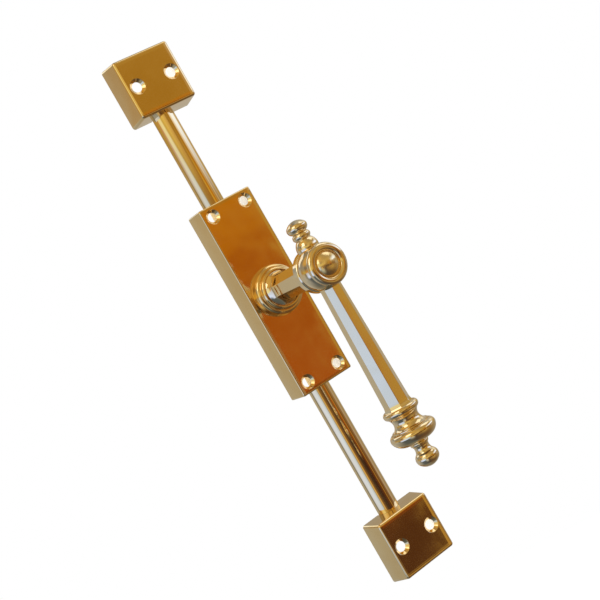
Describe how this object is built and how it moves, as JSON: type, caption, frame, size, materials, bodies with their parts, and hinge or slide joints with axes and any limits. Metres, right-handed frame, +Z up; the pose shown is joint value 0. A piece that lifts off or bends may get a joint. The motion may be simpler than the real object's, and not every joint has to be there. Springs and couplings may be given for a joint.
{
  "type": "surface cremone bolt",
  "caption": "Surface-mounted cremone bolt: a lever handle turns a pinion that drives half-round rods up and down into box keeps.",
  "frame": {"origin": "where the handle's spindle axis meets the back plane that lies on the door", "axes": "+Z up along the rods, +X to the right seen from the front, -Y out of the door towards the user"},
  "size_m": [0.0388, 0.084, 0.3322],
  "materials": {
    "case_brass": "polished and lacquered",
    "keep_brass": "polished and lacquered",
    "rod_brass": "drawn and polished",
    "handle_brass": "turned and polished",
    "rack_brass": "machined",
    "plate_steel": "zinc plated",
    "screw_steel": "bright steel",
    "machined_steel": "machined and oiled"
  },
  "bodies": {
    "case": {"gear_case": "case_brass", "case_back_plate": "plate_steel", "back_plate_screws": "screw_steel", "pivot_stud": "machined_steel", "rosette": "handle_brass", "rosette_screws": "screw_steel", "neck_bush": "handle_brass", "upper_keep": "keep_brass", "lower_keep": "keep_brass"},
    "handle": {"drive_pinion": "machined_steel", "hub_pin": "machined_steel", "spindle": "machined_steel", "neck_grub_screw": "screw_steel", "handle_neck": "handle_brass", "handle_head": "handle_brass", "head_button": "handle_brass", "handle_stem": "handle_brass", "stem_collar": "handle_brass", "end_disc": "handle_brass", "lower_finial": "handle_brass", "upper_finial": "handle_brass", "upper_ring": "handle_brass", "upper_knob": "handle_brass", "tie_rod": "machined_steel"},
    "upper_bolt": {"upper_rod": "rod_brass", "upper_rack": "rack_brass", "upper_rod_screws": "screw_steel"},
    "lower_bolt": {"lower_rod": "rod_brass", "lower_rack": "rack_brass", "lower_rod_screws": "screw_steel"}
  },
  "joints": [
    {"name": "handle_turn", "type": "hinge", "parent": "case", "child": "handle", "pos_m": [0, 0, 0], "axis": [0, 1, 0], "range_deg": [0, 180]},
    {"name": "upper_bolt_slide", "type": "slide", "parent": "case", "child": "upper_bolt", "axis": [0, 0, 1], "range_m": [-0.02366, 0]},
    {"name": "lower_bolt_slide", "type": "slide", "parent": "case", "child": "lower_bolt", "axis": [0, 0, 1], "range_m": [0, 0.02366]}
  ],
  "couplings": [
    {"joint": "upper_bolt_slide", "follows": "handle_turn", "m_per_rad": -0.0075},
    {"joint": "lower_bolt_slide", "follows": "handle_turn", "m_per_rad": 0.0075}
  ]
}
